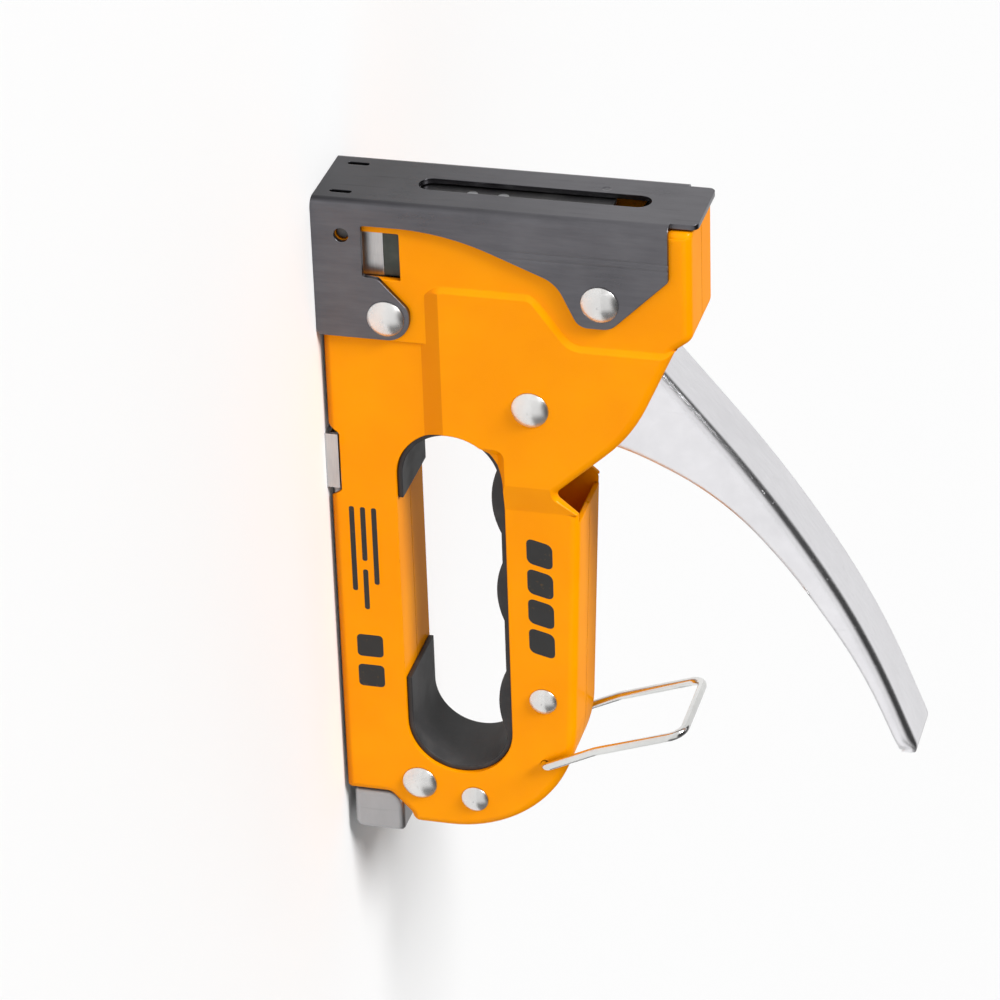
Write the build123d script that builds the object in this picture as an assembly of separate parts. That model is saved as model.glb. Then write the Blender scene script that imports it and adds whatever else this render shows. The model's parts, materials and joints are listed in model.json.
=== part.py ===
"""Hand staple gun with two pressed steel shells, a steel nose cover and a squeeze lever.

All sizes are in millimetres. The tool stands on its base, as in use:
+X runs from the nose plate back to the heel, +Z up from the work face,
y = 0 is the plane where the two shells meet, and the origin lies on the work face
at the middle of the nose plate's foot.
Most outlines are lists of corners (x, z, corner radius) in the plane y = 0.
"""

import os
from math import cos, radians, sin, tan

from build123d import *

# ---- driving dimensions ----------------------------------------------------------------
LENGTH = 165.0  # nose plate to end of the magazine knob
SHEET = 1.2  # shells, cover and lever
RUNNING = 0.05  # radial clearance of a turning or sliding fit
GAP = 0.3  # clearance between bodies that pass each other
FAR = 100.0  # past every edge of the tool, for cutters

# shells
SHELL_HALF = 10.6  # outer half width
SEAM = 0.1  # each shell stops this short of the mid-plane
SHELL_FOOT, HEAD_TOP = 0.5, 84.5
SHELL_BEND = 2.2  # outer radius of the bend from side to flange
GRIP_LINE = 55.0  # height of the grip's back over the heel
HOLE_FRONT, HOLE_REAR = 55.8, 145.4  # finger hole
HOLE_LOW, HOLE_HIGH, HOLE_R = 16.2, 41.3, 12.5
NOTCH_FRONT, NOTCH_REAR, NOTCH_TOP = 55.4, 76.2, 3.4  # sight notch in the base

# raised pressings on each shell's side
HEAD_HALF = 12.0  # outer half width of the raised head
HEAD_SLOPE = 52.0  # degrees from square, of the step round the raised head
LOW_RAMP_FOOT, LOW_RAMP_TOP = 23.4, 28.0  # longer slope towards the base
REAR_RAMP_FOOT, REAR_RAMP_TOP = 73.8, 67.0  # longest slope, into the grip
SEAT_FRONT, SEAT_END = 3.0, 33.8  # flat that the cover's wing lies on

# nose cover
COVER_HALF = 12.2
COVER_TOP, TAB_TOP, TAB_HALF = 79.7, 85.8, 9.5
COVER_BEND = 2.2
SLOT_FOOT, SLOT_TOP, SLOT_HALF = 21.5, 73.6, 3.0
PUNCH_Y, PUNCH_FOOT, PUNCH_TOP, PUNCH_HALF = 7.2, 3.2, 8.2, 0.7
GUIDE_PIN, GUIDE_PIN_R = (8.2, 6.8), 1.5

# lever
PIVOT = (47.2, 48.2)  # lever pivot rivet
LEVER_HALF = 8.8
LEVER_TRAVEL = 26.5  # degrees
ARM_LENGTH, ARM_ANGLE = 26.0, 22.0  # pivot to lift pin, and degrees below level at rest
PIN_R, PIN_HEAD_R = 2.0, 3.0
BUSH_R = 4.2
LEVER_BEND = 1.8  # outer radius of the bend from palm to cheek
TIP_R = 7.0  # corners of the tip, seen from above
PALM = [(33.4, 74.3, 0), (66.0, 102.2, 290), (98.0, 123.1, 190), (127.5, 135.2, 2.5), (130.7, 131.6, 0)]
UNDERSIDE = [
    (126.0, 130.4, 2),
    (106.5, 122.0, 120),
    (84.0, 106.6, 130),
    (66.2, 90.6, 65),
    (57.6, 72.0, 60),
    (54.6, 62.0, 4),
]

# rivets: x, z, head radius, shank radius, half width under the heads
RIVETS = {
    "cover_front": (27.7, 16.1, 4.2, 2.2, COVER_HALF),
    "cover_rear": (19.6, 64.5, 4.2, 2.2, COVER_HALF),
    "lever_pivot": (*PIVOT, 4.2, 2.6, HEAD_HALF),
    "grip": (123.4, 48.9, 3.2, 1.6, SHELL_HALF),
    "rear_large": (149.4, 18.6, 4.1, 2.2, SHELL_HALF),
    "rear_small": (152.2, 31.8, 3.2, 1.6, SHELL_HALF),
}
HEAD_RISE = 0.48  # rivet head height over its radius
SPACER_WALL = 1.4

# grip
LINER_HALF, LINER_WALL, LINER_PLAY = 9.6, 1.1, 0.15
LINER_GAP = (74.0, 121.5)  # the liner is open along the base here
SWELLS = ((72.0, 2.0), (96.0, 1.5), (125.5, 1.9))  # x and rise of each finger swell
SWELL_R = 20.0
BAIL_PIVOT = (140.4, 48.9)
BAIL_REACH, BAIL_LEAN = 35.4, 22.0  # degrees from upright, towards the nose
BAIL_HALF = 12.3  # centre of each leg
BAIL_KNEE, BAIL_KNEE_IN = 0.38, 1.1  # place of the slight bend in each leg, and how far it leans in
WIRE_R = 1.0

# magazine, along +X
CHANNEL_HALF, CHANNEL_WALL, CHANNEL_HEIGHT = 7.0, 1.0, 12.0
CHANNEL_FRONT, CHANNEL_REAR = 2.8, 153.0
EAR_FRONT, EAR_REAR = 59.0, 72.6
CROWN_HALF, STAPLE_WIRE, STAPLE_TOP = 5.7, 0.6, 9.3
RAIL_HALF, RAIL_WALL, RAIL_FOOT, RAIL_TOP, RAIL_FRONT = 4.6, 0.8, 1.4, 8.2, 3.4
RAIL_SLOT = 2.6  # half width of the slot for the pusher's tongue
STRIP_END = 62.0
PUSHER_LENGTH = 12.0
ROD_Z, ROD_R = 4.4, 1.0
BLOCK_FRONT = 149.0
KNOB_FRONT, KNOB_FOOT, KNOB_TOP, KNOB_HALF, KNOB_WALL = 154.2, 1.8, 13.8, 9.0, 1.0

# hammer
BLADE_FRONT, BLADE_THICK, BLADE_HALF = 1.5, 1.0, 5.6
BLADE_FOOT, BLADE_TOP = 0.6, 65.0
BLADE_RIVETS, BLADE_RIVET_R, BLADE_RIVET_END = (33.5, 40.5), 1.2, 5.0
CARRIER_FOOT, CARRIER_TOP, CARRIER_REAR, CARRIER_HALF = 20.1, 44.0, 15.6, 7.0
TONGUE_HALF = 3.0
SPRING_X, SPRING_R, SPRING_WIRE, SPRING_TURNS = 9.8, 4.4, 0.75, 7
SEAT_FOOT, SEAT_THICK, SEAT_HALF = 71.0, 1.4, 9.3
BUMPER_FOOT, BUMPER_TOP = 15.3, 19.8


# ---- helpers ---------------------------------------------------------------------------
def outline(*corners):
    """Closed face from corners given as (x, z, corner radius)."""
    points = [(x, z) for x, z, _ in corners]
    radii = [r for _, _, r in corners]
    return make_face(FilletPolyline(*points, radius=radii, close=True))


def slab(face, y0, y1):
    """Face drawn in x, z and made solid from y0 to y1."""
    return extrude(Plane.XZ.offset(-y1) * face, amount=y1 - y0)


def box(x0, x1, y0, y1, z0, z1):
    """Box between two corners."""
    middle = Location(((x0 + x1) / 2, (y0 + y1) / 2, (z0 + z1) / 2))
    return middle * Box(x1 - x0, y1 - y0, z1 - z0)


def rod_y(x, z, r, y0, y1):
    """Cylinder across the tool."""
    return slab(Location((x, z)) * Circle(r), y0, y1)


def rod_x(y, z, r, x0, x1):
    """Cylinder along the tool."""
    return extrude(Plane.YZ.offset(x0) * Location((y, z)) * Circle(r), amount=x1 - x0)


def tube_y(x, z, r_out, r_in, half):
    """Tube across the tool."""
    return rod_y(x, z, r_out, -half, half) - rod_y(x, z, r_in, -half - 1, half + 1)


def both_sides(solid):
    """The solid and its mirror image across y = 0."""
    return solid + mirror(solid, about=Plane.XZ)


def coil(radius, pitch, height, wire):
    """Helical spring standing on z = 0 around the Z axis."""
    path = Helix(pitch=pitch, height=height, radius=radius)
    section = Plane(origin=path @ 0, z_dir=path % 0) * Circle(wire)
    return sweep(section, path=path, is_frenet=True)


def edges_along(solid, axis, wanted):
    """Straight edges of a solid along an axis whose centre passes a test."""
    return [e for e in solid.edges().filter_by(axis) if wanted(e.center())]


# ---- shells ----------------------------------------------------------------------------
def shell_outline():
    """Side view of a shell."""
    return outline(
        (1.6, SHELL_FOOT, 0.5),
        (153.6, SHELL_FOOT, 1.0),
        (153.6, 11.0, 2.0),
        (158.6, 15.8, 2.0),
        (161.0, 16.6, 2.0),
        (161.0, GRIP_LINE, 31.0),
        (73.8, 58.4, 1.5),
        (69.0, 52.6, 1.5),
        (52.5, 70.7, 38.0),
        (30.5, 80.6, 2.0),
        (27.5, HEAD_TOP, 3.0),
        (1.6, HEAD_TOP, 1.0),
    )


def finger_hole(grow=0.0):
    """Side view of the finger hole, grown by a sheet or shrunk by a fit."""
    r = HOLE_R + grow - 0.05  # just short of a full half circle at each end
    return outline(
        (HOLE_FRONT - grow, HOLE_LOW - grow, r),
        (HOLE_REAR + grow, HOLE_LOW - grow, r),
        (HOLE_REAR + grow, HOLE_HIGH + grow, r),
        (HOLE_FRONT - grow, HOLE_HIGH + grow, r),
    )


def raised_foot():
    """Foot of the raised head's slope, run out past the shell's own edge where it follows it."""
    return outline(
        (60.0, LOW_RAMP_FOOT, 1.0),
        (18.7, LOW_RAMP_FOOT, 6.0),
        (18.7, 49.6, 4.0),
        (30.2, 58.2, 4.0),
        (30.2, 90.0, 0.5),
        (60.0, 90.0, 0.5),
        (REAR_RAMP_FOOT, 72.0, 0.5),
        (REAR_RAMP_FOOT, 40.0, 1.0),
        (60.0, 40.0, 0.5),
    )


def shell_body(half=SHELL_HALF):
    """Filled shell, before it is hollowed, with its bends rounded."""
    body = slab(shell_outline(), -half, -SEAM)
    side = body.faces().sort_by(Axis.Y)[0]
    return fillet([e for e in side.edges() if e.center().Z > 17], SHELL_BEND)


def ramps():
    """Space that the raised head's two longer slopes leave it, towards the base and the grip."""
    rise, over = HEAD_HALF - SHELL_HALF, 1.0
    low_rate = (LOW_RAMP_TOP - LOW_RAMP_FOOT) / rise
    rear_rate = (REAR_RAMP_TOP - REAR_RAMP_FOOT) / rise
    low = Polyline(
        (0, LOW_RAMP_FOOT),
        (-SHELL_HALF, LOW_RAMP_FOOT),
        (-HEAD_HALF - over, LOW_RAMP_TOP + over * low_rate),
        (-HEAD_HALF - over, FAR),
        (0, FAR),
        close=True,
    )
    rear = Polyline(
        (REAR_RAMP_FOOT, 0),
        (REAR_RAMP_FOOT, -SHELL_HALF),
        (REAR_RAMP_TOP + over * rear_rate, -HEAD_HALF - over),
        (0, -HEAD_HALF - over),
        (0, 0),
        close=True,
    )
    return extrude(Plane.YZ * make_face(low), amount=FAR) & extrude(make_face(rear), amount=FAR)


def raised_head():
    """Raised pressing on the shell's side, sloping down to the flat inside the outline."""
    rise = HEAD_HALF - SHELL_HALF
    pressing = extrude(Plane.XZ.offset(SHELL_HALF) * raised_foot(), amount=rise, taper=HEAD_SLOPE)
    pressing += slab(raised_foot(), -SHELL_HALF, -SHELL_HALF + 2 * SHELL_BEND)
    return pressing & ramps() & shell_body(HEAD_HALF)


def cover_seat():
    """Low pressing that the cover's wing lies on."""
    half = COVER_HALF - SHEET
    corners = (SEAT_FRONT, -FAR, 0), (SEAT_END, -FAR, 0), (SEAT_END, FAR, 0), (SEAT_FRONT, FAR, 0)
    return slab(outline(*corners), -half, -SHELL_HALF + 2 * SHELL_BEND) & shell_body(half)


def shell_hollow():
    """Space inside a shell: the flat tray, the raised head and the open edges."""
    inner_y = -SHELL_HALF + SHEET
    tray = offset(shell_outline(), -SHEET, kind=Kind.ARC)
    hollow = slab(tray - finger_hole(SHEET), inner_y, 1)
    slope = (HEAD_HALF - SHELL_HALF) * tan(radians(HEAD_SLOPE)) + 0.2
    raised = offset(raised_foot(), -slope, kind=Kind.ARC) & tray
    raised -= Location((FAR / 2, LOW_RAMP_TOP - FAR / 2)) * Rectangle(FAR, FAR)
    raised -= Location((REAR_RAMP_TOP + FAR / 2, FAR / 2)) * Rectangle(FAR, FAR)
    hollow += slab(raised - finger_hole(SHEET), -HEAD_HALF + SHEET, inner_y + 0.1)
    base = box(0, CHANNEL_REAR - 0.6, inner_y, 1, -1, SHELL_FOOT + 2 * SHEET)
    nose = box(0, 4, inner_y, 1, -1, COVER_TOP)
    knob_way = box(CHANNEL_REAR - 3, LENGTH + 5, inner_y, 1, -1, KNOB_TOP + 0.4)
    slot = outline(
        (31.4, 90.0, 0),
        (31.4, 68.0, 0),
        (60.0, 50.0, 0),
        (76.0, 50.0, 0),
        (76.0, 64.0, 0),
        (60.0, 90.0, 0),
    )
    return hollow + base + nose + knob_way + slab(slot, inner_y, 1)


def sight_notch():
    """Notch in the shell's foot that shows the magazine."""
    return outline(
        (NOTCH_FRONT, -1, 0),
        (NOTCH_FRONT + 3, NOTCH_TOP, 1.2),
        (NOTCH_REAR - 3, NOTCH_TOP, 1.2),
        (NOTCH_REAR, -1, 0),
    )


def shell_holes():
    """Rivet, pin and bail holes through one shell's side."""
    holes = [(x, z, shank + RUNNING) for x, z, _, shank, _ in RIVETS.values()]
    holes += [(*BAIL_PIVOT, WIRE_R + RUNNING), (*GUIDE_PIN, GUIDE_PIN_R + RUNNING)]
    return [rod_y(x, z, r, -HEAD_HALF - 2, -SHELL_HALF + 3) for x, z, r in holes]


def window():
    """Window in the shell beside the nose guide."""
    return outline((7.4, 10.0, 0.4), (18.8, 10.0, 0.4), (18.8, 19.5, 0.4), (7.4, 19.5, 0.4))


def shell():
    """The shell on the -Y side."""
    body = shell_body() + cover_seat() + raised_head()
    body -= slab(finger_hole(), -HEAD_HALF - 1, 1)
    body -= shell_hollow()
    body -= slab(window() + sight_notch(), -HEAD_HALF - 1, -SHELL_HALF + SHEET + 0.5)
    for hole in shell_holes():
        body -= hole
    return body.solids().sort_by(SortBy.VOLUME)[-1]


# ---- nose ------------------------------------------------------------------------------
def cover_profile():
    """Side view of a wing of the nose cover."""
    return outline(
        (0, 0, 0),
        (33.0, 0, 1.5),
        (33.0, 21.4, 5.3),
        (25.4, 21.4, 3.0),
        (18.2, 14.6, 1.0),
        (17.9, 11.2, 0.5),
        (5.5, 11.2, 0.8),
        (5.5, 30.0, 58.0),
        (15.4, 54.8, 8.0),
        (25.6, 59.7, 3.2),
        (25.6, 66.8, 4.0),
        (12.9, COVER_TOP, 0.6),
        (0, COVER_TOP, 0),
    )


def plate_cut(y0, y1, z0, z1, r):
    """Rounded cutter through the front plate."""
    middle = Location(((y0 + y1) / 2, (z0 + z1) / 2))
    face = middle * RectangleRounded(y1 - y0, z1 - z0, r)
    return extrude(Plane.YZ.offset(-1) * face, amount=4)


def cover_tab():
    """Rounded tongue that carries the front plate on past the wings."""
    overlap = 2.0
    middle = Location((0, (COVER_TOP - overlap + TAB_TOP) / 2))
    face = middle * RectangleRounded(2 * TAB_HALF, TAB_TOP - COVER_TOP + overlap, 1.6)
    return extrude(Plane.YZ * face, amount=SHEET)


def nose_cover():
    """Steel wrap round the nose: a slotted front plate with a wing on each side."""
    body = slab(cover_profile(), -COVER_HALF, COVER_HALF)
    body = fillet(edges_along(body, Axis.Z, lambda c: abs(c.X) < 0.01), COVER_BEND)
    inner = COVER_HALF - SHEET
    core = box(SHEET, 60, -inner, inner, -5, COVER_TOP + 5)
    body -= fillet(edges_along(core, Axis.Z, lambda c: c.X < 2), COVER_BEND - SHEET)
    body += cover_tab()
    body -= plate_cut(-SLOT_HALF, SLOT_HALF, SLOT_FOOT, SLOT_TOP, SLOT_HALF - 0.05)
    for y in (-PUNCH_Y, PUNCH_Y):
        body -= plate_cut(y - PUNCH_HALF, y + PUNCH_HALF, PUNCH_FOOT, PUNCH_TOP, PUNCH_HALF - 0.05)
    for x, z, _, shank, half in RIVETS.values():
        if half == COVER_HALF:
            body -= rod_y(x, z, shank + RUNNING, -20, 20)
    return body - rod_y(*GUIDE_PIN, GUIDE_PIN_R + 0.2, -20, 20)


def nose_guide():
    """Steel saddle over the front of the magazine, seen in the shells' windows."""
    half, roof = 9.0, CHANNEL_HEIGHT + 1.3
    body = box(3.2, 19.8, -half, half, SHEET, BUMPER_FOOT)
    body -= box(0, 30, -CHANNEL_HALF - 0.1, CHANNEL_HALF + 0.1, 0, CHANNEL_HEIGHT + 0.1)
    body -= box(0, 30, -half + SHEET, half - SHEET, roof, 20)
    return body - rod_y(*GUIDE_PIN, GUIDE_PIN_R, -20, 20)


def guide_pins():
    """Two stub pins that hold the guide to the shells."""
    pin = rod_y(*GUIDE_PIN, GUIDE_PIN_R, -SHELL_HALF + 0.2, -SHELL_HALF + 3.4)
    return Compound([pin, mirror(pin, about=Plane.XZ)])


def bumper():
    """Rubber block that stops the hammer, with a groove that lets it give."""
    body = box(4.6, 19.0, -9.0, 9.0, BUMPER_FOOT, BUMPER_TOP)
    body = fillet(body.edges().filter_by(Axis.Z), 0.8)
    return body - box(3, 20, -2.0, 2.0, BUMPER_TOP - SHEET, BUMPER_TOP + 1)


# ---- rivets, spacers -------------------------------------------------------------------
def dome(radius, height, rim):
    """Domed rivet head standing on z = 0."""
    swell = (radius**2 + (height - rim) ** 2) / (2 * (height - rim))
    halfway = radius * 0.6
    rise = height - swell + (swell**2 - halfway**2) ** 0.5
    edge = Line((0, 0), (radius, 0)) + Line((radius, 0), (radius, rim))
    edge += ThreePointArc((radius, rim), (halfway, rise), (0, height))
    edge += Line((0, height), (0, 0))
    return revolve(Plane.XZ * make_face(edge), Axis.Z)


def rivet(x, z, head_r, shank_r, half):
    """Rivet across the tool with a domed head on each side."""
    head = dome(head_r, HEAD_RISE * head_r, 0.35)
    body = rod_y(x, z, shank_r, -half, half)
    for side in (-1, 1):
        body += Location((x, side * half, z), (-90 * side, 0, 0)) * head
    return body


def spacer(x, z, shank_r):
    """Spacer tube on a rivet, between the shells' flats."""
    reach = SHELL_HALF - SHEET - 0.05
    return tube_y(x, z, shank_r + SPACER_WALL, shank_r + RUNNING, reach)


# ---- grip ------------------------------------------------------------------------------
def grip_liner():
    """Rubber liner round the finger hole, open along the base side, with three swells."""
    thickness = LINER_PLAY + LINER_WALL
    inside = finger_hole(-thickness)
    for x, rise in SWELLS:
        inside -= Location((x, HOLE_HIGH - thickness - rise + SWELL_R)) * Circle(SWELL_R)
    front, rear = LINER_GAP
    gap = Location(((front + rear) / 2, HOLE_LOW)) * Rectangle(rear - front, HOLE_R)
    return slab(finger_hole(-LINER_PLAY) - inside - gap, -LINER_HALF, LINER_HALF)


def lock_bail():
    """Bent wire loop that swings on the heel and hooks over the closed lever."""
    px, pz = BAIL_PIVOT
    run, rise = BAIL_REACH * sin(radians(BAIL_LEAN)), BAIL_REACH * cos(radians(BAIL_LEAN))
    near = [
        (px, -BAIL_HALF + 4.3, pz),
        (px, -BAIL_HALF, pz),
        (px - BAIL_KNEE * run - BAIL_KNEE_IN, -BAIL_HALF, pz + BAIL_KNEE * rise),
        (px - run, -BAIL_HALF, pz + rise),
    ]
    far = [(x, -y, z) for x, y, z in reversed(near)]
    path = FilletPolyline(*near, *far, radius=[1.7, 9, 3.5, 3.5, 9, 1.7])
    section = Plane(origin=path @ 0, z_dir=path % 0) * Circle(WIRE_R)
    return sweep(section, path=path)


# ---- lever -----------------------------------------------------------------------------
def pin_centre():
    """Centre of the lift pin at rest."""
    a = radians(ARM_ANGLE)
    return PIVOT[0] - ARM_LENGTH * cos(a), PIVOT[1] - ARM_LENGTH * sin(a)


def arm_corner(along, across):
    """Point near the lift pin, measured along the arm away from the pivot and across it."""
    a = radians(ARM_ANGLE)
    x, z = pin_centre()
    return x - along * cos(a) + across * sin(a), z - along * sin(a) - across * cos(a)


def lever_side():
    """Side view of a lever cheek."""
    return outline(
        *PALM,
        *UNDERSIDE,
        (55.2, 42.0, 7.0),
        (46.0, 38.8, 6.0),
        (*arm_corner(4.0, 4.0), 3.9),
        (*arm_corner(4.0, -4.0), 3.9),
        (36.5, 56.0, 8.0),
    )


def under_palm():
    """Side view of everything below the palm wall."""
    inward_x, inward_z = 0.55 * SHEET, -0.83 * SHEET  # square to the middle of the palm
    wall = [(x + inward_x, z + inward_z, r) for x, z, r in PALM[:-2]]
    (bend_x, bend_z, _), (tip_x, tip_z, _) = PALM[-2:]
    lip = [(bend_x - 1.0, bend_z - 1.7, 1.2), (tip_x - 1.4, tip_z - 1.4, 0), (tip_x, 60.0, 0)]
    return outline(*wall, *lip, (60.0, 0, 0), (0, 40.0, 0))


def tip_waste():
    """What the lever's tip loses to its rounded corners, seen from above."""
    end = PALM[-1][0]
    blank = Location((end - 3, 0)) * Rectangle(2 * TIP_R, 2 * LEVER_HALF + 2)
    blank -= Location((end - 30, 0)) * RectangleRounded(60, 2 * LEVER_HALF, TIP_R)
    return extrude(Plane.XY.offset(FAR) * blank, amount=FAR / 2)


def squeeze_lever():
    """Curved channel: two cheeks and the palm wall, on the pivot bush."""
    body = slab(lever_side(), -LEVER_HALF, LEVER_HALF)
    bends = [e for e in body.edges() if abs(e.center().Y) > LEVER_HALF - 0.01 and on_palm(e.center())]
    body = fillet(bends, LEVER_BEND)
    body -= slab(under_palm(), -LEVER_HALF + SHEET, LEVER_HALF - SHEET)
    body -= rod_y(*PIVOT, BUSH_R, -20, 20)
    body -= rod_y(*pin_centre(), PIN_R, -20, 20)
    return body - tip_waste()


def on_palm(point):
    """True for a point well above the chord from the palm's start to its tip."""
    (x0, z0, _), (x1, z1, _) = PALM[0], PALM[-2]
    return point.Z > z0 + (z1 - z0) / (x1 - x0) * (point.X - x0) + 1.0


def lever_bush():
    """Bush that carries the lever on the pivot rivet."""
    return tube_y(*PIVOT, BUSH_R, RIVETS["lever_pivot"][3] + RUNNING, HEAD_HALF - SHEET - GAP)


def lift_pin():
    """Pin across the lever's arms that lifts the hammer, with a flat head on each end."""
    x, z = pin_centre()
    head_end = LEVER_HALF + 0.3
    return both_sides(rod_y(x, z, PIN_R, -LEVER_HALF, 0) + rod_y(x, z, PIN_HEAD_R, -head_end, -LEVER_HALF))


def return_spring():
    """Torsion spring round the bush."""
    turns, wire = 4, 0.6
    width = turns * 2.2 * wire
    body = coil(BUSH_R + 0.9, 2.2 * wire, width, wire)
    return Location((PIVOT[0], 3.0 + width / 2, PIVOT[1]), (90, 0, 0)) * body


# ---- hammer ----------------------------------------------------------------------------
def hammer_lift():
    """Travel of the lift pin's height over the lever's travel."""
    end = radians(LEVER_TRAVEL - ARM_ANGLE)
    return ARM_LENGTH * (sin(end) + sin(radians(ARM_ANGLE)))


def hammer_carrier():
    """Block that carries the driver blade and is lifted by the pin in its slotted tongue."""
    front = BLADE_FRONT + BLADE_THICK
    body = box(front, CARRIER_REAR, -CARRIER_HALF, CARRIER_HALF, CARRIER_FOOT, CARRIER_TOP)
    body = fillet(body.edges().filter_by(Axis.Z), 0.8)
    body -= box(6.5, CARRIER_REAR + 1, -4.5, 4.5, CARRIER_FOOT - 1, 31.0)
    spigot = Location((SPRING_X, 0, CARRIER_TOP)) * Circle(SPRING_R - SPRING_WIRE - 0.4)
    body += extrude(spigot, amount=3.0)
    x, z = pin_centre()
    tongue = PIN_R + 2.8
    body += box(CARRIER_REAR - 1, x + 5.2, -TONGUE_HALF, TONGUE_HALF, z - tongue, z + tongue)
    reach = x - PIVOT[0] + ARM_LENGTH
    slot = outline(
        (x - reach - PIN_R - 0.4, z - PIN_R - GAP, 0.5),
        (x + PIN_R + 0.5, z - PIN_R - GAP, 0.5),
        (x + PIN_R + 0.5, z + PIN_R + GAP, 0.5),
        (x - reach - PIN_R - 0.4, z + PIN_R + GAP, 0.5),
    )
    body -= slab(slot, -10, 10)
    for z_rivet in BLADE_RIVETS:
        body -= rod_x(0, z_rivet, BLADE_RIVET_R, 0, BLADE_RIVET_END)
    return body


def driver_blade():
    """Flat blade that drives the front staple and fills the nose plate's slot."""
    rear = BLADE_FRONT + BLADE_THICK
    body = box(BLADE_FRONT, rear, -BLADE_HALF, BLADE_HALF, BLADE_FOOT, BLADE_TOP)
    body = fillet(edges_along(body, Axis.X, lambda c: c.Z > BLADE_FOOT + 1), 2.0)
    for z in BLADE_RIVETS:
        body -= rod_x(0, z, BLADE_RIVET_R, 0, BLADE_RIVET_END)
    return body


def blade_rivets():
    """Two flush rivets between blade and carrier."""
    return Compound([rod_x(0, z, BLADE_RIVET_R, BLADE_FRONT, BLADE_RIVET_END) for z in BLADE_RIVETS])


def main_spring():
    """Drive spring between the hammer carrier and its seat, at rest."""
    height = SEAT_FOOT - CARRIER_TOP - 2 * SPRING_WIRE - 0.2
    body = coil(SPRING_R, height / SPRING_TURNS, height, SPRING_WIRE)
    return Location((SPRING_X, 0, CARRIER_TOP + SPRING_WIRE + 0.1)) * body


def spring_seat():
    """Bracket hung on the rear cover rivet that takes the drive spring's push."""
    x, z, _, shank, _ = RIVETS["cover_rear"]
    body = box(3.0, 24.0, -SEAT_HALF, SEAT_HALF, SEAT_FOOT, SEAT_FOOT + SEAT_THICK)
    ear = outline(
        (x - 4.2, z - 4.3, 3.0),
        (x + 4.2, z - 4.3, 3.0),
        (x + 4.2, SEAT_FOOT + 0.5, 0),
        (x - 4.2, SEAT_FOOT + 0.5, 0),
    )
    body += both_sides(slab(ear, -SEAT_HALF, -SEAT_HALF + 1.1))
    return body - rod_y(x, z, shank + SPACER_WALL, -20, 20)


# ---- magazine --------------------------------------------------------------------------
def magazine_channel():
    """Steel channel that guides the staples, with an ear in each sight notch."""
    wall = CHANNEL_HALF - CHANNEL_WALL
    body = box(CHANNEL_FRONT, CHANNEL_REAR, -CHANNEL_HALF, CHANNEL_HALF, 0, CHANNEL_HEIGHT)
    body = fillet(edges_along(body, Axis.X, lambda c: c.Z < 1), 0.6)
    body -= box(0, 2 * LENGTH, -wall, wall, CHANNEL_WALL, 20)
    side = -SHELL_HALF + 0.1
    ear = box(EAR_FRONT, EAR_REAR, side, -CHANNEL_HALF + 0.2, 0, CHANNEL_WALL)
    ear += box(EAR_FRONT, EAR_REAR, side, side + CHANNEL_WALL, 0, NOTCH_TOP - 0.4)
    return body + both_sides(ear)


def saddle(half, wall, x0, x1, z0, z1):
    """Upside-down channel along the tool."""
    body = box(x0, x1, -half, half, z0, z1)
    return body - box(x0 - 1, x1 + 1, -half + wall, half - wall, z0 - 1, z1 - wall)


def staple_strip():
    """Half used strip of glued staples."""
    front, foot = CHANNEL_FRONT + 0.2, CHANNEL_WALL + 0.2
    return saddle(CROWN_HALF, STAPLE_WIRE, front, STRIP_END, foot, STAPLE_TOP)


def feed_rail():
    """Rail under the staples, pulled out with the knob, with a slot for the pusher's tongue."""
    body = saddle(RAIL_HALF, RAIL_WALL, RAIL_FRONT, KNOB_FRONT + 2, RAIL_FOOT, RAIL_TOP)
    return body - box(STRIP_END - 4, BLOCK_FRONT - 1, -RAIL_SLOT, RAIL_SLOT, RAIL_TOP - 1, RAIL_TOP + 1)


def pusher():
    """Saddle behind the strip, with a tongue down through the rail's slot that rides on the rod."""
    front = STRIP_END + GAP
    tongue = RAIL_SLOT - GAP
    body = saddle(CROWN_HALF - 0.1, 0.7, front, front + PUSHER_LENGTH, RAIL_FOOT + 0.4, STAPLE_TOP)
    body += box(front + 1, front + 7, -tongue, tongue, ROD_Z - 1.9, STAPLE_TOP - 0.3)
    return body - rod_x(0, ROD_Z, ROD_R + 2 * RUNNING, front, front + 8)


def pusher_spring():
    """Long light spring on the rod, behind the pusher's tongue."""
    front, rear, wire = STRIP_END + GAP + 7.4, BLOCK_FRONT - 0.5, 0.3
    body = coil(1.9, 3.2, rear - front, wire)
    return Location((front, 0, ROD_Z), (0, 90, 0)) * body


def spring_rod():
    """Rod that keeps the pusher spring straight, fixed in the rear block."""
    return rod_x(0, ROD_Z, ROD_R, STRIP_END + 2, BLOCK_FRONT + 2)


def rear_block():
    """Block in the rail's rear end that anchors the rod and the knob."""
    half = RAIL_HALF - RAIL_WALL - 0.2
    body = box(BLOCK_FRONT, KNOB_FRONT + 2, -half, half, KNOB_FOOT, RAIL_TOP - RAIL_WALL - 0.2)
    return body - rod_x(0, ROD_Z, ROD_R, BLOCK_FRONT - 1, BLOCK_FRONT + 2)


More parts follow.
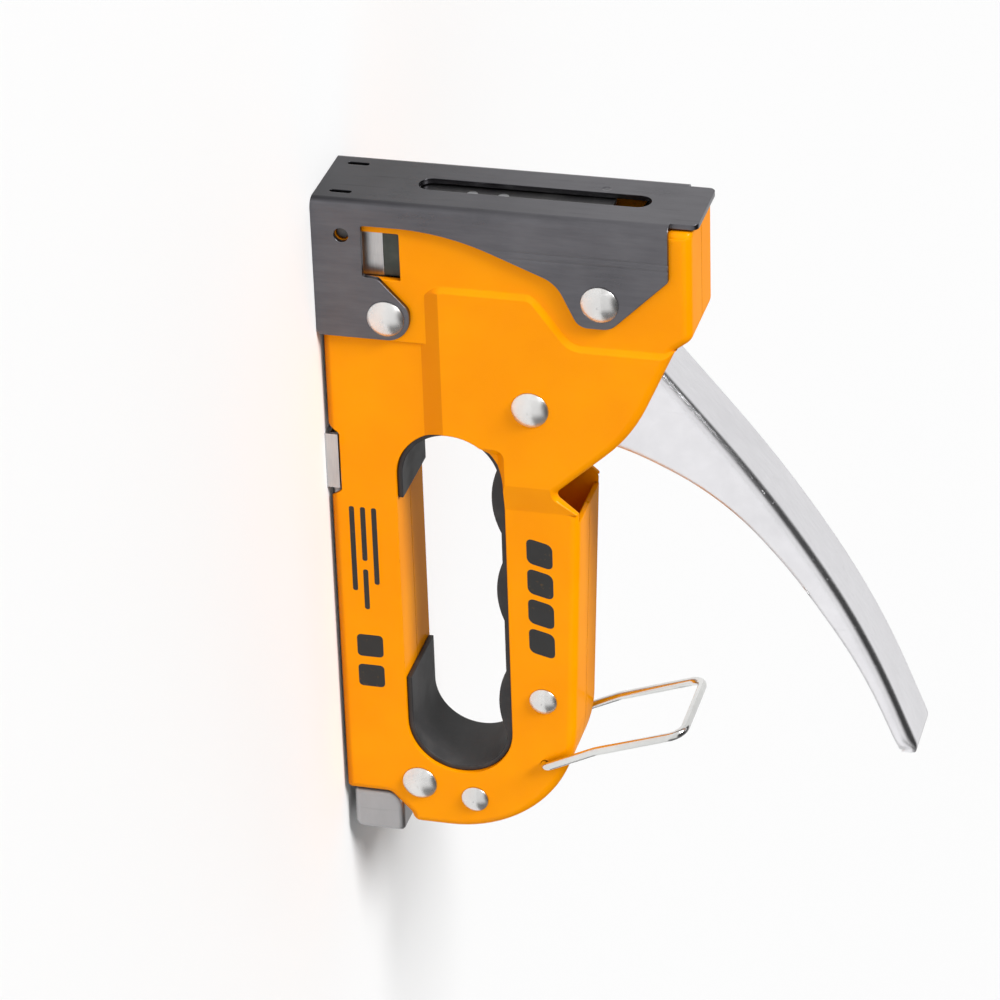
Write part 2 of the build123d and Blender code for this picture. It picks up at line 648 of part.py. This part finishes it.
def magazine_knob():
    """Sheet steel cap that pulls the rail out."""
    side = outline(
        (KNOB_FRONT, KNOB_FOOT, 0.8),
        (LENGTH, KNOB_FOOT, 2.0),
        (LENGTH, KNOB_TOP, 1.2),
        (KNOB_FRONT, KNOB_TOP, 4.2),
    )
    body = slab(side, -KNOB_HALF, KNOB_HALF)
    body = fillet(edges_along(body, Axis.Z, lambda c: c.X > LENGTH - 0.1), 1.4)
    inner = KNOB_HALF - KNOB_WALL
    body -= box(0, LENGTH - KNOB_WALL, -inner, inner, 0, KNOB_TOP - KNOB_WALL)
    web_front = KNOB_FRONT + 2
    return body + box(web_front, web_front + 1, -inner - 0.5, inner + 0.5, 2.4, KNOB_TOP - 0.5)


# ---- all the pieces --------------------------------------------------------------------
def pieces():
    """Every piece by name."""
    left = shell()
    made = {
        "left_shell": left,
        "right_shell": mirror(left, about=Plane.XZ),
        "nose_cover": nose_cover(),
        "nose_guide": nose_guide(),
        "guide_pins": guide_pins(),
        "bumper": bumper(),
        "grip_liner": grip_liner(),
        "lock_bail": lock_bail(),
        "squeeze_lever": squeeze_lever(),
        "lever_bush": lever_bush(),
        "lift_pin": lift_pin(),
        "return_spring": return_spring(),
        "hammer_carrier": hammer_carrier(),
        "driver_blade": driver_blade(),
        "blade_rivets": blade_rivets(),
        "main_spring": main_spring(),
        "spring_seat": spring_seat(),
        "magazine_channel": magazine_channel(),
        "staple_strip": staple_strip(),
        "feed_rail": feed_rail(),
        "pusher": pusher(),
        "pusher_spring": pusher_spring(),
        "spring_rod": spring_rod(),
        "rear_block": rear_block(),
        "magazine_knob": magazine_knob(),
    }
    for name, (x, z, head_r, shank_r, half) in RIVETS.items():
        made[name + "_rivet"] = rivet(x, z, head_r, shank_r, half)
        if name != "lever_pivot":
            made[name + "_spacer"] = spacer(x, z, shank_r)
    return made


os.makedirs("parts", exist_ok=True)
for piece_name, piece in pieces().items():
    piece.label = piece_name
    export_step(piece, f"parts/{piece_name}.step")
print("hammer lift per radian of lever, mm:", round(hammer_lift() / radians(LEVER_TRAVEL), 4))
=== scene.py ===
"""Looks of the hand staple gun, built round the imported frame. Metres, same axes as the CAD."""

import json
from math import cos, pi, radians, sin

import bmesh
import bpy
from mathutils import Matrix, Vector


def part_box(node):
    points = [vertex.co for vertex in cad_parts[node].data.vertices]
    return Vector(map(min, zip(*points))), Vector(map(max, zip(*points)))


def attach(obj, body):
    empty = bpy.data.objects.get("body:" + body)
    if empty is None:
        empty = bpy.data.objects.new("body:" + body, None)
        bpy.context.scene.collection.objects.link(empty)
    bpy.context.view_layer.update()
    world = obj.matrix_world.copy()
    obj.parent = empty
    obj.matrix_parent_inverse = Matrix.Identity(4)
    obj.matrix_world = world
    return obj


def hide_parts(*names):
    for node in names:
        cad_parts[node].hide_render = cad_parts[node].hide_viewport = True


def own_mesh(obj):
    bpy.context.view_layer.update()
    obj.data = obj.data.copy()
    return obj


MM = 0.001
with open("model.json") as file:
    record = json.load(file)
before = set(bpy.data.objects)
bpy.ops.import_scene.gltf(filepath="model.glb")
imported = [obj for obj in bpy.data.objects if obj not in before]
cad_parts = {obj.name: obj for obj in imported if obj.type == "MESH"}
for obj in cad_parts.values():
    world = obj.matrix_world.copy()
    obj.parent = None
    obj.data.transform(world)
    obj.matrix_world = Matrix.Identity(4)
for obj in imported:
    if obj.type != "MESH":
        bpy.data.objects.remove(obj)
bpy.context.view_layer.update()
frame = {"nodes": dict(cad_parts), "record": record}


# ---- node helpers ----------------------------------------------------------------------
MIX_FACTOR, MIX_A, MIX_B, MIX_RESULT = 0, 6, 7, 2  # the mix node's sockets for colours
EDGE_SAMPLES, ROUND_SAMPLES, AO_SAMPLES = 4, 8, 4
FLAT_DOT, SHARP_DOT = 0.995, 0.86  # true normal times softened normal, on flats and on sharp edges


class Nodes:
    """Short way to build the node tree of a material or a world."""

    def __init__(self, owner, space="Object"):
        owner.use_nodes = True
        self.owner = owner
        self.tree = owner.node_tree
        self.tree.nodes.clear()
        self.coords = self.add("ShaderNodeTexCoord").outputs[space]

    def add(self, kind, inputs=None, **settings):
        """New node; each input is linked to another node's output or set to a plain value."""
        node = self.tree.nodes.new(kind)
        for key, value in settings.items():
            setattr(node, key, value)
        for key, value in (inputs or {}).items():
            if isinstance(value, bpy.types.NodeSocket):
                self.tree.links.new(value, node.inputs[key])
            else:
                node.inputs[key].default_value = value
        return node

    def split(self):
        """X, Y and Z of the place on the surface."""
        return self.add("ShaderNodeSeparateXYZ", {"Vector": self.coords}).outputs

    def noise(self, scale, detail=3.0, stretch=(1, 1, 1), rough=0.55):
        """Noise value in object space, at features of about 1/scale metres."""
        mapped = self.add("ShaderNodeMapping", {"Vector": self.coords, "Scale": stretch}).outputs[0]
        inputs = {"Vector": mapped, "Scale": scale, "Detail": detail, "Roughness": rough}
        return self.add("ShaderNodeTexNoise", inputs).outputs["Fac"]

    def ramp(self, value, low, high, out_low=0.0, out_high=1.0):
        """Value mapped from low..high to out_low..out_high, clamped."""
        inputs = {"Value": value, "From Min": low, "From Max": high, "To Min": out_low, "To Max": out_high}
        return self.add("ShaderNodeMapRange", inputs).outputs[0]

    def math(self, operation, a, b=0.0):
        """Result of one of the math node's operations."""
        return self.add("ShaderNodeMath", {0: a, 1: b}, operation=operation).outputs[0]

    def times(self, a, b):
        """Product of two values."""
        return self.math("MULTIPLY", a, b)

    def mix(self, factor, a, b):
        """Colour between a and b."""
        inputs = {MIX_FACTOR: factor, MIX_A: a, MIX_B: b}
        return self.add("ShaderNodeMix", inputs, data_type="RGBA").outputs[MIX_RESULT]

    def distance(self, point):
        """Distance in object space from a point."""
        ends = {0: self.coords, 1: point}
        return self.add("ShaderNodeVectorMath", ends, operation="DISTANCE").outputs["Value"]

    def edge(self, radius):
        """About 1 on sharp outer and inner edges, 0 on flats."""
        soft = self.add("ShaderNodeBevel", {"Radius": radius}, samples=EDGE_SAMPLES).outputs[0]
        true = self.add("ShaderNodeNewGeometry").outputs["Normal"]
        dot = self.add("ShaderNodeVectorMath", {0: soft, 1: true}, operation="DOT_PRODUCT").outputs["Value"]
        return self.ramp(dot, FLAT_DOT, SHARP_DOT)

    def occlusion_shade(self, distance, strength, closed=0.25, clear=0.7):
        """Painted shade in corners, creases and enclosed spaces, up to strength, from the open share of the
        surroundings.
        """
        inputs = {"Distance": distance}
        open_share = self.add("ShaderNodeAmbientOcclusion", inputs, samples=AO_SAMPLES).outputs["AO"]
        return self.ramp(open_share, closed, clear, strength, 0.0)

    def underside_shade(self, start, end, strength):
        """Where the surface slopes towards the base, up to strength: painted shade on the slopes that face
        down.
        """
        normal = self.add("ShaderNodeNewGeometry").outputs["Normal"]
        z = self.add("ShaderNodeSeparateXYZ", {"Vector": normal}).outputs["Z"]
        return self.ramp(z, -start, -end, 0.0, strength)

    def rounded(self, radius):
        """Normal that rounds the sheet's cut edges."""
        return self.add("ShaderNodeBevel", {"Radius": radius}, samples=ROUND_SAMPLES).outputs[0]

    def bump(self, height, strength, distance, normal=None):
        """Normal of a surface with this relief, on top of another normal if there is one."""
        inputs = {"Height": height, "Strength": strength, "Distance": distance}
        if normal is not None:
            inputs["Normal"] = normal
        return self.add("ShaderNodeBump", inputs).outputs[0]

    def finish(self, **inputs):
        """The material, with a Principled surface; underscores in the names stand for spaces."""
        named = {key.replace("_", " "): value for key, value in inputs.items()}
        surface = self.add("ShaderNodeBsdfPrincipled", named).outputs[0]
        self.add("ShaderNodeOutputMaterial", {"Surface": surface})
        return self.owner


def shader(name):
    """Empty material under construction."""
    return Nodes(bpy.data.materials.new(name))


def rgb(r, g, b):
    """sRGB 0..255 as linear colour, by the sRGB curve."""
    def line(c):
        c /= 255
        return c / 12.92 if c <= 0.04045 else ((c + 0.055) / 1.055) ** 2.4

    return (line(r), line(g), line(b), 1.0)


# ---- materials -------------------------------------------------------------------------
PAINT_TONES = rgb(250, 150, 0), rgb(253, 156, 0)
# chipped paint, then two painted shade tones: in corners and creases, and on slopes facing the base
PAINT_CHIPPED, PAINT_CORNER_SHADE, PAINT_UNDERSIDE_SHADE = rgb(188, 104, 8), rgb(150, 74, 0), rgb(214, 118, 0)
PAINT_INSIDE_SHADE = rgb(62, 30, 4)  # painted shade deep within the shells
# painted shade: in the corners of metal parts, and on the cover's front plate
METAL_CORNER_SHADE, COVER_FRONT_SHADE = (0.02, 0.02, 0.02, 1), rgb(30, 30, 32)
# the staple strip's gap tone is painted shade in the grooves between the wires
STAPLE_TONES, STAPLE_GAP_SHADE = (rgb(150, 150, 148), rgb(196, 194, 190)), rgb(60, 58, 54)
BRASS_TONES = rgb(176, 140, 74), rgb(208, 172, 98)
INK_BLACK, INK_WORN = rgb(24, 23, 22), rgb(70, 50, 20)

MIDDLE, WIDE = (0.35, 0.65), (0.3, 0.7)  # where most values of a noise lie
EVEN_GRAIN = (1, 1, 1)  # noise that isn't stretched along any axis
WORN_GAIN = 1.7  # how much brighter a rubbed edge of plated steel is
STAPLE_PITCH = 0.6 * MM

# places on the cover, in metres
CREASES_X, CREASE_HALF = (0.0088, 0.0104), 0.0005
CREASE_FOOT, CREASE_FULL = 0.040, 0.047  # z where they begin and where they have their full depth
DIMPLE, DIMPLE_FLAT, DIMPLE_RIM = (0.0, 0.0048, 0.0625), 0.0006, 0.0011
FRONT_SHADE_INSIDE, FRONT_SHADE_OUTSIDE = 0.0008, 0.0002  # x between which the painted shade on the front plate ends at its edges
FRONT_SHADE_FOOT, FRONT_SHADE_TOP = 0.012, 0.062  # z between which the painted shade gets weaker


def paint():
    """Glossy powder coat with a faint orange peel, handling marks and worn edges, and painted shade in
    corners, deep within the shells and on slopes facing the base.
    """
    s = shader("paint")
    colour = s.mix(s.ramp(s.noise(60, detail=2), *MIDDLE), *PAINT_TONES)
    spots = s.ramp(s.noise(420, detail=4), low=0.60, high=0.70, out_high=0.6)
    colour = s.mix(s.times(s.edge(radius=0.35 * MM), spots), colour, PAINT_CHIPPED)
    # painted shade in the paint's corners and creases
    colour = s.mix(s.occlusion_shade(distance=3.0 * MM, strength=0.55), colour, PAINT_CORNER_SHADE)
    # painted shade deep within the shells, where little light gets in
    enclosed_shade = s.occlusion_shade(distance=16.0 * MM, strength=0.85, closed=0.05, clear=0.28)
    colour = s.mix(enclosed_shade, colour, PAINT_INSIDE_SHADE)
    # painted shade on slopes facing the base
    colour = s.mix(s.underside_shade(start=0.12, end=0.36, strength=0.62), colour, PAINT_UNDERSIDE_SHADE)
    scuffs = s.ramp(s.noise(500, detail=4, stretch=(1, 1, 5)), low=0.62, high=0.75, out_high=0.08)
    rough = s.math("ADD", s.ramp(s.noise(220), *WIDE, out_low=0.26, out_high=0.36), scuffs)
    peel = s.bump(s.noise(1500, detail=2), strength=0.10, distance=0.05 * MM, normal=s.rounded(0.45 * MM))
    return s.finish(
        Base_Color=colour,
        Roughness=rough,
        Specular_IOR_Level=0.0,  # the thin coat alone gives the gloss, so that the colour stays full
        Normal=peel,
        Coat_Weight=0.16,
        Coat_Roughness=s.times(rough, 0.5),
        Coat_Normal=peel,
    )


def brushed(name, dark, light, rough, grain=(1, 1, 18), scale=260, edge_radius=0.25 * MM, edge_light=0.6,
            relief=None, front_shade=None):
    """Plated or drawn steel: brushed grain, cloudy tone, fine scratches, bright edges, painted shade in
    corners.

    The two functions, if there are any, give its pressed depth and its share of painted shade.
    """
    s = shader(name)
    lines = s.noise(scale, detail=6, stretch=grain, rough=0.7)
    clouds = s.noise(70)
    tone = s.times(s.math("ADD", lines, clouds), 0.5)
    base = s.mix(s.ramp(tone, *MIDDLE), dark, light)
    worn = tuple(min(1.0, c * WORN_GAIN) for c in light[:3]) + (1,)
    base = s.mix(s.times(s.edge(edge_radius), edge_light), base, worn)
    # painted shade in the metal's corners and creases
    base = s.mix(s.occlusion_shade(distance=0.8 * MM, strength=0.45), base, METAL_CORNER_SHADE)
    # painted shade on one face, for the cover its front plate
    if front_shade:
        base = s.mix(front_shade(s), base, COVER_FRONT_SHADE)
    scratches = s.ramp(s.noise(900, detail=2, stretch=(1, 1, 0.06)), low=0.66, high=0.70, out_high=0.12)
    satin = s.ramp(tone, *WIDE, out_low=rough * 0.8, out_high=rough * 1.25)
    normal = s.bump(lines, strength=0.06, distance=0.03 * MM, normal=s.rounded(edge_radius))
    if relief:
        normal = s.bump(relief(s), strength=0.8, distance=0.3 * MM, normal=normal)
    roughness = s.math("ADD", satin, scratches)
    return s.finish(Base_Color=base, Metallic=1.0, Roughness=roughness, Normal=normal)


def cover_relief(s):
    """Depth of two faint creases along each wing of the cover and of a pressed dimple beside its slot."""
    place = s.split()
    upper = s.ramp(place["Z"], CREASE_FOOT, CREASE_FULL)
    depth = s.ramp(s.distance(DIMPLE), DIMPLE_FLAT, DIMPLE_RIM, out_low=-1.0, out_high=0.0)
    for x in CREASES_X:
        off = s.math("ABSOLUTE", s.math("SUBTRACT", place["X"], x))
        groove = s.ramp(off, 0.0, CREASE_HALF, out_low=1.0, out_high=0.0)
        depth = s.math("SUBTRACT", depth, s.times(groove, upper))
    return depth


def cover_front_shade(s):
    """Share of painted shade on the cover's front plate, strongest at the nose's foot."""
    place = s.split()
    front = s.ramp(place["X"], FRONT_SHADE_INSIDE, FRONT_SHADE_OUTSIDE)
    shade_by_height = s.ramp(place["Z"], FRONT_SHADE_FOOT, FRONT_SHADE_TOP, out_low=0.72, out_high=0.12)
    cloudy = s.ramp(s.noise(45, detail=2), *MIDDLE, out_low=0.8)
    return s.times(s.times(front, shade_by_height), cloudy)


def staple_wire():
    """Glued strip of round galvanised wires, one beside the other along X, with painted shade in the grooves
    between them.
    """
    s = shader("staple_wire")
    wires = s.math("ABSOLUTE", s.math("SINE", s.times(s.split()["X"], pi / STAPLE_PITCH)))
    clouds = s.ramp(s.noise(90), *MIDDLE)
    # painted shade in the grooves between the round wires
    gap_shade = s.ramp(wires, 0.0, 0.35, out_low=0.85, out_high=0.0)
    return s.finish(
        Base_Color=s.mix(gap_shade, s.mix(clouds, *STAPLE_TONES), STAPLE_GAP_SHADE),
        Metallic=0.9,
        Roughness=s.ramp(clouds, 0, 1, out_low=0.3, out_high=0.45),
        Normal=s.bump(wires, strength=0.9, distance=0.2 * MM),
    )


def rubber(name, dark, light, rough):
    """Moulded rubber with a fine stipple and dusty high spots."""
    s = shader(name)
    dust = s.ramp(s.noise(180, detail=4), low=0.45, high=0.75)
    return s.finish(
        Base_Color=s.mix(dust, dark, light),
        Roughness=s.ramp(dust, 0, 1, out_low=rough, out_high=rough + 0.15),
        Normal=s.bump(s.noise(2600), strength=0.35, distance=0.06 * MM, normal=s.rounded(0.5 * MM)),
    )


def brass():
    """Turned brass with lines round its axis."""
    s = shader("brass")
    lines = s.noise(300, detail=5, stretch=(1, 14, 1))
    return s.finish(
        Base_Color=s.mix(s.ramp(lines, *WIDE), *BRASS_TONES),
        Metallic=1.0,
        Roughness=s.ramp(lines, *WIDE, out_low=0.2, out_high=0.35),
    )


def ink():
    """Screen print, thin and a little broken."""
    s = shader("ink")
    return s.finish(
        Base_Color=s.mix(s.ramp(s.noise(700, detail=4), low=0.62, high=0.72), INK_BLACK, INK_WORN),
        Roughness=s.ramp(s.noise(300), *WIDE, out_low=0.35, out_high=0.5),
    )


def all_materials():
    """Material of each slot in the record."""
    steels = {
        "cover_steel": dict(
            dark=rgb(92, 91, 95), light=rgb(110, 109, 113), rough=0.30, grain=(9, 9, 1), scale=60,
            relief=cover_relief, front_shade=cover_front_shade,
        ),
        "bright_steel": dict(dark=rgb(178, 180, 182), light=rgb(205, 206, 206), rough=0.32),
        "dark_steel": dict(dark=rgb(70, 70, 72), light=rgb(96, 95, 94), rough=0.38),
        "rivet_nickel": dict(
            dark=rgb(218, 217, 216), light=rgb(234, 233, 231), rough=0.26, grain=EVEN_GRAIN, edge_light=0
        ),
        "spring_steel": dict(dark=rgb(120, 120, 122), light=rgb(150, 150, 150), rough=0.3, edge_light=0),
        "lever_chrome": dict(
            dark=rgb(226, 225, 228), light=rgb(238, 237, 240), rough=0.12, grain=(1, 6, 1),
            edge_radius=2.2 * MM, edge_light=0,
        ),
        "knob_steel": dict(
            dark=rgb(172, 171, 172), light=rgb(186, 185, 186), rough=0.46, grain=(1, 1, 3), scale=120
        ),
        "wire_steel": dict(
            dark=rgb(214, 214, 212), light=rgb(232, 232, 230), rough=0.16, grain=EVEN_GRAIN, edge_light=0
        ),
    }
    materials = {name: brushed(name, **look) for name, look in steels.items()}
    materials["bumper_rubber"] = rubber("bumper_rubber", rgb(58, 66, 62), rgb(86, 92, 86), 0.6)
    materials["liner_rubber"] = rubber("liner_rubber", rgb(38, 37, 38), rgb(62, 60, 60), 0.55)
    materials["paint"] = paint()
    materials["staple_wire"] = staple_wire()
    materials["brass"] = brass()
    return materials


MATERIALS = all_materials()


def dress_nodes():
    """Every CAD node takes its slot's material."""
    slots = {row["node"]: row["material_slot"] for row in frame["record"]["subparts"]}
    for name, obj in frame["nodes"].items():
        obj.data.materials.clear()
        obj.data.materials.append(MATERIALS[slots[name]])


# ---- pieces ----------------------------------------------------------------------------
END_TURNS = 1.25  # turns at each end of a spring that lie against each other
END_PITCH = 2.1  # rise of such a turn, in radii of the wire
SPIGOT = 3.0 * MM  # height of the stud on the hammer carrier that centres the drive spring
SEAT_THICK = 1.4 * MM  # plate above the drive spring

PRINT_Y, PRINT_THICK = -10.59, 0.03  # on the flat side of the left shell, mm
CORNER_STEPS = 4
PRINT = [  # x, z, width, height, corner radius, lean; mm
    (84.6, 49.0, 6.4, 6.0, 1.4, 0.25),
    (92.4, 49.0, 6.4, 6.0, 1.4, 0.25),
    (100.2, 49.0, 6.4, 6.0, 1.4, 0.25),
    (108.0, 49.0, 6.4, 6.0, 1.4, 0.25),
    (84.0, 8.0, 14.0, 1.2, 0.5, 0.0),
    (98.5, 8.0, 10.5, 1.2, 0.5, 0.0),
    (87.0, 10.6, 20.0, 1.2, 0.5, 0.0),
    (88.0, 5.4, 22.0, 1.2, 0.5, 0.0),
    (113.5, 8.2, 5.8, 6.2, 1.0, 0.0),
    (121.5, 8.2, 5.8, 6.2, 1.0, 0.0),
]


def add_object(name, data):
    """New object in the scene."""
    obj = bpy.data.objects.new(name, data)
    bpy.context.scene.collection.objects.link(obj)
    return obj


def add_piece(name, bm, material, body, smooth=True):
    """Object from a bmesh, riding on a body."""
    mesh = bpy.data.meshes.new(name)
    bm.to_mesh(mesh)
    bm.free()
    mesh.polygons.foreach_set("use_smooth", [smooth] * len(mesh.polygons))
    mesh.materials.append(material)
    obj = add_object(name, mesh)
    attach(obj, body)
    return obj


def wire_mesh(points, radius, sides=12):
    """Round wire through the points, with flat ends."""
    bm = bmesh.new()
    rings = []
    side = Vector((0, 0, 1))
    angles = [2 * pi * k / sides for k in range(sides)]
    for i, point in enumerate(points):
        ahead = (points[min(i + 1, len(points) - 1)] - points[max(i - 1, 0)]).normalized()
        side = (side - ahead * side.dot(ahead)).normalized()
        other = ahead.cross(side)
        rings.append([bm.verts.new(point + (side * cos(a) + other * sin(a)) * radius) for a in angles])
    for low, high in zip(rings, rings[1:]):
        for k in range(sides):
            bm.faces.new((low[k], low[(k + 1) % sides], high[(k + 1) % sides], high[k]))
    bm.faces.new(list(reversed(rings[0])))
    bm.faces.new(rings[-1])
    return bm


def coil_points(length, radius, wire, turns, steps=28):
    """Line of a compression spring along +Z from 0 to length, with closed ends; wire is its radius."""
    pitch = (length - 2 * wire - 2 * END_TURNS * END_PITCH * wire) / turns
    total = turns + 2 * END_TURNS
    count = int(total * steps)
    points, height = [], wire
    for i in range(count + 1):
        turn = total * i / count
        points.append(Vector((radius * cos(2 * pi * turn), radius * sin(2 * pi * turn), height)))
        tight = turn < END_TURNS or turn > total - END_TURNS
        height += (END_PITCH * wire if tight else pitch) * total / count
    rise = points[-1].z - wire
    return [Vector((p.x, p.y, wire + (p.z - wire) * (length - 2 * wire) / rise)) for p in points]


def add_main_spring():
    """Drive spring between hammer and seat, a coil of fixed length; the real one is squeezed as the hammer
    lifts.
    """
    low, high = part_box("main_spring")
    foot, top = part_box("hammer_carrier")[1].z - SPIGOT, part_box("spring_seat")[1].z - SEAT_THICK
    centre = (low + high) / 2
    wire, radius, turns = 0.75 * MM, 4.4 * MM, 5.5
    points = coil_points(top - foot, radius, wire, turns)
    spring = add_piece(
        "main_spring_coil",
        wire_mesh([p + Vector((centre.x, centre.y, foot)) for p in points], wire),
        MATERIALS["spring_steel"],
        "root",
    )
    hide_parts("main_spring")
    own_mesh(spring)


def add_pusher_spring():
    """Feed spring on the rod, a coil of fixed length; the real one is squeezed as the pusher moves back."""
    low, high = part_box("pusher_spring")
    front, rear = low.x + 0.1 * MM, high.x - 0.05 * MM  # clear of the pusher and of the rear block
    centre = (low + high) / 2
    wire, radius, turns = 0.3 * MM, 1.85 * MM, 22
    points = coil_points(rear - front, radius, wire, turns, steps=16)
    turned = [Vector((p.z, p.x, p.y)) for p in points]  # along X
    spring = add_piece(
        "pusher_spring_coil",
        wire_mesh([p + Vector((front, centre.y, centre.z)) for p in turned], wire, sides=8),
        MATERIALS["spring_steel"],
        "magazine_slide",
    )
    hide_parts("pusher_spring")
    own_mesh(spring)


def rounded_plate(bm, x, z, width, height, radius, lean=0.0):
    """Thin plate of ink on the -Y side, centred on (x, z), leaning by shear along X; mm."""
    loop = []
    for cx, cz, start in ((1, 1, 0), (-1, 1, 90), (-1, -1, 180), (1, -1, 270)):
        for step in range(CORNER_STEPS + 1):
            a = radians(start + 90 * step / CORNER_STEPS)
            px = cx * (width / 2 - radius) + radius * cos(a)
            pz = cz * (height / 2 - radius) + radius * sin(a)
            loop.append(bm.verts.new(Vector((x + px + lean * pz, PRINT_Y, z + pz)) * MM))
    face = bm.faces.new(loop)
    face.normal_update()
    if face.normal.y > 0:
        face.normal_flip()
    made = bmesh.ops.extrude_face_region(bm, geom=[face])
    fresh = [v for v in made["geom"] if isinstance(v, bmesh.types.BMVert)]
    bmesh.ops.translate(bm, verts=fresh, vec=(0, -PRINT_THICK * MM, 0))


def add_print():
    """Plain printed marks on the grip and the base: bars and squares, no letters.

    The record has no slot for ink, so the marks take an ink material of their own. The bumper's matt black is
    the nearest slot.
    """
    bm = bmesh.new()
    for row in PRINT:
        rounded_plate(bm, *row)
    add_piece("side_print", bm, ink(), "root", smooth=False)


# ---- stage -----------------------------------------------------------------------------
AIM, DISTANCE = Vector((75.7, -3.5, 38.3)) * MM, 1013.7 * MM  # what the camera looks at, and from how far
AZIMUTH, ELEVATION, ROLL = -30.2, 13.4, -95.7  # degrees
FOCAL = 162.0  # mm
CLIP = 0.05, 50
FLOOR_HALF, FLOOR_LEVEL, FLOOR_TONE = 8.0, -0.05 * MM, 0.93
SUN_TOWARD, SUN_WIDTH, SUN_STRENGTH = (-0.62, -0.26, 0.74), 20, 3.05
SKY = (  # axis, start, end, brightness up to start, brightness from end
    ("Z", 0.60, 0.74, 0.86, 0.06),
    ("X", 0.45, 0.75, 1.0, 0.25),
)


def view_axes(azimuth, elevation, roll):
    """Camera axes (right, up, back) for a view from azimuth and elevation, rolled about the line of sight."""
    a, e, r = radians(azimuth), radians(elevation), radians(roll)
    back = Vector((sin(a) * cos(e), -cos(a) * cos(e), sin(e)))
    right = Vector((0, 0, 1)).cross(back).normalized()
    up = back.cross(right)
    return right * cos(r) - up * sin(r), right * sin(r) + up * cos(r), back


def add_camera():
    """Camera on its side, as if the tool lay with its nose at the top."""
    right, up, back = view_axes(AZIMUTH, ELEVATION, ROLL)
    data = bpy.data.cameras.new("camera")
    data.lens = FOCAL
    data.clip_start, data.clip_end = CLIP
    camera = add_object("camera", data)
    place = Matrix((right, up, back)).transposed().to_4x4()
    place.translation = AIM + back * DISTANCE
    camera.matrix_world = place
    bpy.context.scene.camera = camera


def add_floor():
    """Pale matt floor just under the part, wide enough to fill the view."""
    mesh = bpy.data.meshes.new("floor")
    corners = [(x * FLOOR_HALF, y * FLOOR_HALF, FLOOR_LEVEL) for x, y in ((-1, -1), (1, -1), (1, 1), (-1, 1))]
    mesh.from_pydata(corners, [], [(0, 1, 2, 3)])
    floor = add_object("floor", mesh)
    tone = (FLOOR_TONE, FLOOR_TONE, FLOOR_TONE, 1)
    mesh.materials.append(shader("floor").finish(Base_Color=tone, Roughness=0.9, Specular_IOR_Level=0.1))


def add_sun():
    """Soft distant key lamp; its width is its size in the sky in degrees."""
    data = bpy.data.lights.new("key", "SUN")
    data.angle, data.energy = radians(SUN_WIDTH), SUN_STRENGTH
    lamp = add_object("key", data)
    lamp.rotation_euler = Vector(SUN_TOWARD).to_track_quat("Z", "Y").to_euler()


def add_world():
    """Pale studio sky, darker overhead and towards the heel, for bright metal to reflect."""
    world = bpy.data.worlds.new("studio")
    bpy.context.scene.world = world
    s = Nodes(world, "Generated")
    direction = s.split()  # a world's coordinates are where the ray goes
    shares = [s.ramp(direction[axis], *limits) for axis, *limits in SKY]
    sky = s.add("ShaderNodeBackground", {"Color": (1, 1, 1, 1), "Strength": s.times(*shares)}).outputs[0]
    s.add("ShaderNodeOutputWorld", {"Surface": sky})


bpy.context.scene.view_settings.view_transform = "Standard"
add_camera()
add_floor()
add_world()
add_sun()
dress_nodes()
add_main_spring()
add_pusher_spring()
add_print()
